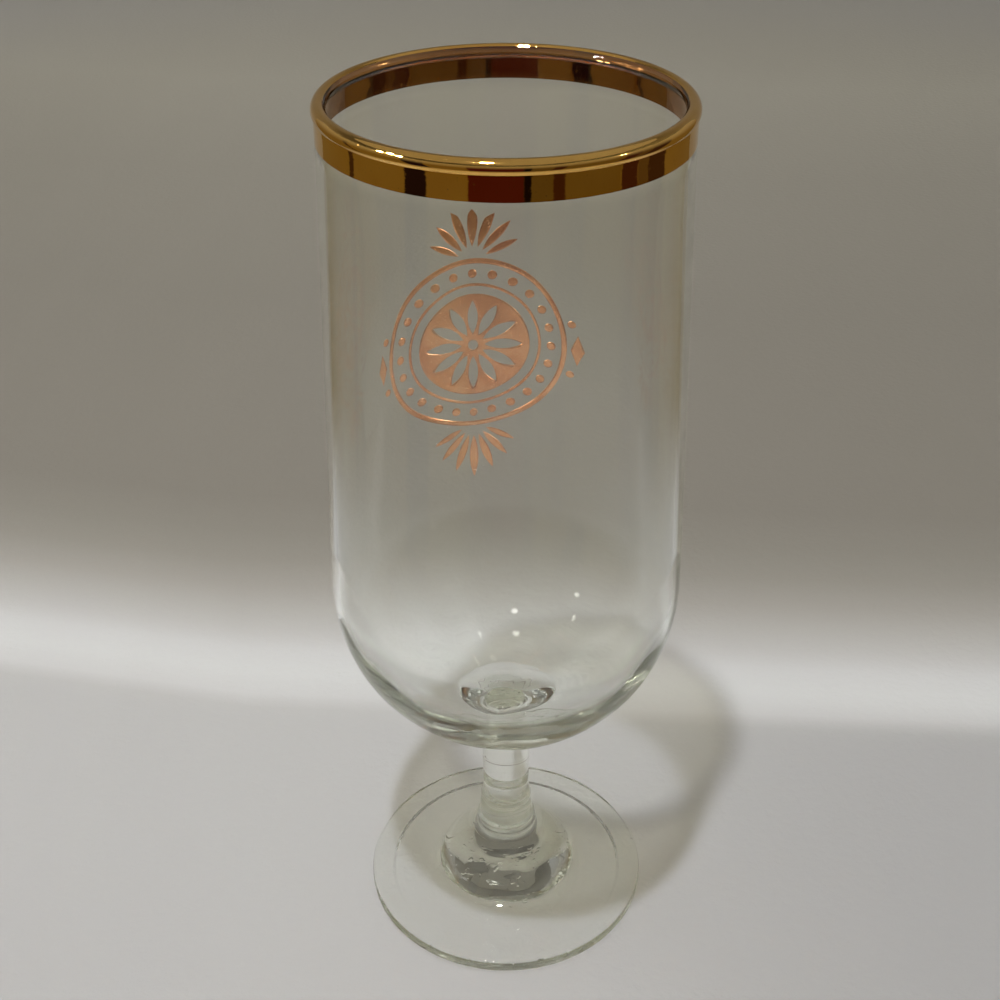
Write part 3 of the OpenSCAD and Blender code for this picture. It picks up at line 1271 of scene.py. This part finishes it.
@dataclass(frozen=True)
class Studio:
    """Floor, backdrop, lamps and what the gold and the glass reflect."""

    floor_gap: float = 0.02 * MM
    flat_r: float = 0.95
    cove_r: float = 0.35
    wall_top: float = 1.3
    # Where the fold is painted on the flat floor; its light and shade are painted into the paper's
    # colour.
    fold_turn: float = -15.5
    fold_away: float = 0.052
    fold_bend: tuple[float, float] = (-0.055, 0.15)
    fold_from: float = -0.1
    fold_span: float = 0.7
    room_r: float = 0.42
    room_in_r: float = 0.15
    room_low: float = 0.002
    room_top: float = 0.36
    room_reach: float = 135.0
    outdoors: Colour = (0.09, 0.085, 0.075)
    far_paper: Colour = (0.36, 0.35, 0.325)
    floor_glow: Colour = (0.45, 0.445, 0.43)
    ceiling: Colour = (0.30, 0.295, 0.285)
    glass_ceiling: Colour = (0.185, 0.172, 0.145)
    trapped_from: float = 1.5
    pane_scale: float = 4.0
    pane_colours: tuple[Colour, Colour] = ((0.05, 0.05, 0.04), (1.1, 1.1, 1.06))

    def sweep(self) -> bpy.types.Object:
        """Makes the floor, which curves up into a round backdrop.

        Returns:
            The floor.
        """
        cove = arc((self.flat_r, self.cove_r), self.cove_r, -90, 0, 24)
        top = [[self.flat_r + self.cove_r, self.wall_top]]
        profile = np.vstack([[[0, 0]], cove, top]) - [0, self.floor_gap]
        return self.staged("sweep", profile, np.linspace(0, 2 * np.pi, 97), self.paper())

    @staticmethod
    def staged(
        name: str, profile: Points, angle: np.ndarray, finish: bpy.types.Material
    ) -> bpy.types.Object:
        """Turns a profile through some angles into a thing of the stage.

        Args:
            name: The object's name.
            profile: Radius and height of each point.
            angle: The angles, in radians.
            finish: The object's material.

        Returns:
            The object.
        """
        radius, theta = np.meshgrid(profile[:, 0], angle, indexing="ij")
        height = np.repeat(profile[:, 1:], len(angle), axis=1)
        faces = grid_faces(*radius.shape)
        made = make_piece(name, around(radius, theta, height), faces, [finish])
        return made

    def paper(self) -> bpy.types.Material:
        """Makes the backdrop's paper on the flat floor, with a fold that is only painted: pale in
        front of it, a painted highlight just behind it where light would catch the fold, and
        painted shade beyond, greyer, where the paper would stand upright, all as distances from the
        fold.

        Returns:
            Its material.
        """
        material, sheet = new_material("backdrop_paper_painted_light")
        x, y, _ = sheet.axes()
        turn = math.radians(self.fold_turn)
        bend = (self.fold_bend[0] - x).sum("MAXIMUM", self.fold_bend[0] - x, 0) * self.fold_bend[1]
        away = y * math.cos(turn) - x * math.sin(turn) - bend - self.fold_away
        # Painted light and shade: the bright stops just behind the fold are a painted highlight of
        # a fold that is not modelled, and the dark stops beyond are painted shade.
        stops = [
            (-0.100, (0.435, 0.432, 0.426)),
            (-0.045, (0.446, 0.444, 0.437)),
            (-0.006, (0.450, 0.448, 0.441)),
            (-0.001, (0.462, 0.460, 0.450)),
            (0.004, (0.550, 0.551, 0.545)),
            (0.013, (0.583, 0.590, 0.583)),
            (0.022, (0.560, 0.562, 0.558)),
            (0.030, (0.472, 0.467, 0.453)),
            (0.040, (0.402, 0.391, 0.368)),
            (0.052, (0.325, 0.310, 0.280)),
            (0.065, (0.266, 0.252, 0.221)),
            (0.080, (0.237, 0.223, 0.192)),
            (0.100, (0.216, 0.201, 0.172)),
            (0.250, (0.232, 0.217, 0.185)),
            (0.400, (0.275, 0.259, 0.220)),
            (0.550, (0.345, 0.328, 0.278)),
        ]
        low, span = self.fold_from, self.fold_span
        places = [((distance - low) / span, colour) for distance, colour in stops]
        share = (away - low) / span
        ramp = sheet.node("ShaderNodeValToRGB", {"stops": places}, {"Fac": share})
        # Painted shade: to the right of the glass the floor in front of the fold is painted darker,
        # as if it got less light.
        side = (x * math.cos(turn) + y * math.sin(turn)).rise(0.0, 0.12)
        painted_side_shade = side * (0.17 - away.rise(-0.005, 0.01) * 0.16)
        shaded = sheet.mixed(painted_side_shade, ramp.outputs["Color"], (0, 0, 0))
        far = ((x * x + y * y) ** 0.5).rise(0.65, self.flat_r)
        shaded = sheet.mixed(far, shaded, self.far_paper)
        grain = sheet.bump(sheet.noise(420, 3), 0.3 * MM)
        sockets = {"Base Color": shaded, "Roughness": 0.9, "Specular IOR Level": 0.08}
        sheet.finish(sheet.principled({**sockets, "Normal": grain}))
        return material

    def room(self) -> bpy.types.Object:
        """Makes the room that only shows in reflections: a strip round the front and the
        sides, flat near the glass and then upright, with dark openings at some bearings.

        Returns:
            The strip.
        """
        low, reach = self.room_low, self.room_reach
        line = np.array([[self.room_in_r, low], [self.room_r, low], [self.room_r, self.room_top]])
        angle = np.radians(PhotoCamera.azimuth - 90 + np.linspace(-reach, reach, 91))
        strip = self.staged("room_strip", line, angle, self.openings())
        strip.visible_camera = strip.visible_diffuse = strip.visible_shadow = False
        return strip

    def openings(self) -> bpy.types.Material:
        """Makes the strip's finish: a glow that openings interrupt, each at its bearing in
        degrees from the camera's side, and that only light that came by a mirror sees.

        Returns:
            Its material.
        """
        material, sheet = new_material("room_openings")
        x, y, z = sheet.axes()
        turn = math.radians(PhotoCamera.azimuth)
        side = x * math.cos(turn) + y * math.sin(turn)
        front = x * math.sin(turn) - y * math.cos(turn)
        bearing = side.sum("ARCTAN2", side, front) * math.degrees(1)
        colour: bpy.types.NodeSocket | Colour = (0.150, 0.110, 0.040)
        for centre, width, shade in (
            (50, 35, (0.105, 0.076, 0.026)),
            (-99, 4, (0.040, 0.022, 0.010)),
            (-52, 13.5, (0.012, 0.006, 0.008)),
            (-5.5, 31, (0.052, 0.009, 0.006)),
            (12, 4.5, (0.006, 0.003, 0.003)),
            (20, 12, (0.085, 0.062, 0.024)),
            (29.5, 7, (0.038, 0.014, 0.006)),
            (74, 11.5, (0.040, 0.015, 0.010)),
            (84, 8, (0.075, 0.050, 0.024)),
            (95.5, 15, (0.036, 0.018, 0.010)),
        ):
            inside = 1 - abs(bearing - centre).rise(width / 2 - 0.6, width / 2 + 0.6)
            colour = sheet.mixed(inside, colour, shade)
        near = 1 - ((x * x + y * y) ** 0.5).rise(self.room_in_r, 0.28)
        colour = sheet.mixed(near, colour, self.floor_glow)
        colour = sheet.mixed(z.rise(0.08, self.room_top), colour, self.ceiling)
        glow = sheet.node("ShaderNodeEmission", sockets={"Color": colour, "Strength": 1.0})
        (mirrored,) = sheet.rays("Glossy Depth")
        sheet.finish(sheet.blended(mirrored > 0.5, sheet.through(), glow))
        return material

    def world(self) -> None:
        """Sets the plain grey light that comes from all round. What is seen in glass and gold
        is the ceiling, a greyer one through glass, and window panes, which are a coarse noise,
        where light was held in the glass by its inner reflections."""
        world = bpy.data.worlds.new("room_light")
        bpy.context.scene.world = world
        world.use_nodes = True
        sheet = Sheet(world.node_tree)
        camera, glossy, clear, through, mirrored = sheet.rays(
            "Is Camera Ray",
            "Is Glossy Ray",
            "Is Transmission Ray",
            "Transmission Depth",
            "Glossy Depth",
        )
        seen = camera + glossy
        seen = seen.sum("MAXIMUM", seen, clear)
        inside = through > 0.5
        colour = sheet.mixed(seen, self.outdoors, self.ceiling)
        colour = sheet.mixed(inside, colour, self.glass_ceiling)
        panes = sheet.mixed(sheet.noise(self.pane_scale, 1).rise(0.50, 0.56), *self.pane_colours)
        colour = sheet.mixed(inside * (mirrored > self.trapped_from), colour, panes)
        light = sheet.node("ShaderNodeBackground", sockets={"Color": colour, "Strength": 1.0})
        sheet.node("ShaderNodeOutputWorld", sockets={"Surface": light})

    def build(self) -> None:
        """Builds the studio and its lamps."""
        self.sweep()
        self.room()
        self.world()
        for lamp in (
            Lamp("key_softbox", (-0.184, -0.25, 1.2), 0.05, 9.1, (0.94, 0.955, 1.0), False),
            Lamp("top_softbox", (-0.30, 0.10, 1.25), 0.9, 8.2, (1.0, 0.955, 0.87), False),
            Lamp("glint_left", (-1.18, 0.02, 0.72), 0.09, 20.0),
            Lamp("glint_left_low", (-1.17, -0.16, 0.66), 0.08, 18.0),
            Lamp("glint_left_high", (-1.08, -0.06, 0.86), 0.08, 18.0),
            Lamp("glint_left_near", (-1.10, -0.26, 0.70), 0.08, 18.0),
            Lamp("glint_middle", (-0.24, -0.36, 1.37), 0.11, 30.0),
            Lamp("glint_right", (0.99, -0.63, 0.547), 0.11, 30.0),
        ):
            lamp.build()


# Putting it together


def main() -> None:
    """Builds the glass, the gilding, the print and the studio."""
    logging.basicConfig(level=logging.INFO, format="%(name)s: %(message)s")
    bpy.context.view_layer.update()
    scene = bpy.context.scene
    scene.view_settings.view_transform = "Standard"
    # Light held in the thick glass is mirrored many times before it gets out.
    scene.cycles.max_bounces = 128
    scene.cycles.transmission_bounces = 64
    scene.cycles.glossy_bounces = 96
    scene.cycles.transparent_max_bounces = 48
    PhotoCamera().build()
    form = GlassForm()
    joints = (form.stub_z, form.seam_z)
    glass = ClearGlass("clear_glass", joints).material()
    gold = FiredGold("fired_gold").material()
    back = FiredGold("fired_gold_back", (0.52, 0.26, 0.09), (0.42, 0.18, 0.06), 0.02, 0.001 * MM)
    lustre = CopperLustre("copper_lustre").material()
    Bowl(form).build(glass, back.material())
    Stem(form).build(glass)
    Foot(form).build(glass)
    GoldRim(form).build(gold)
    Print(form, lustre).build()
    Studio().build()


if __name__ == "__main__":
    main()
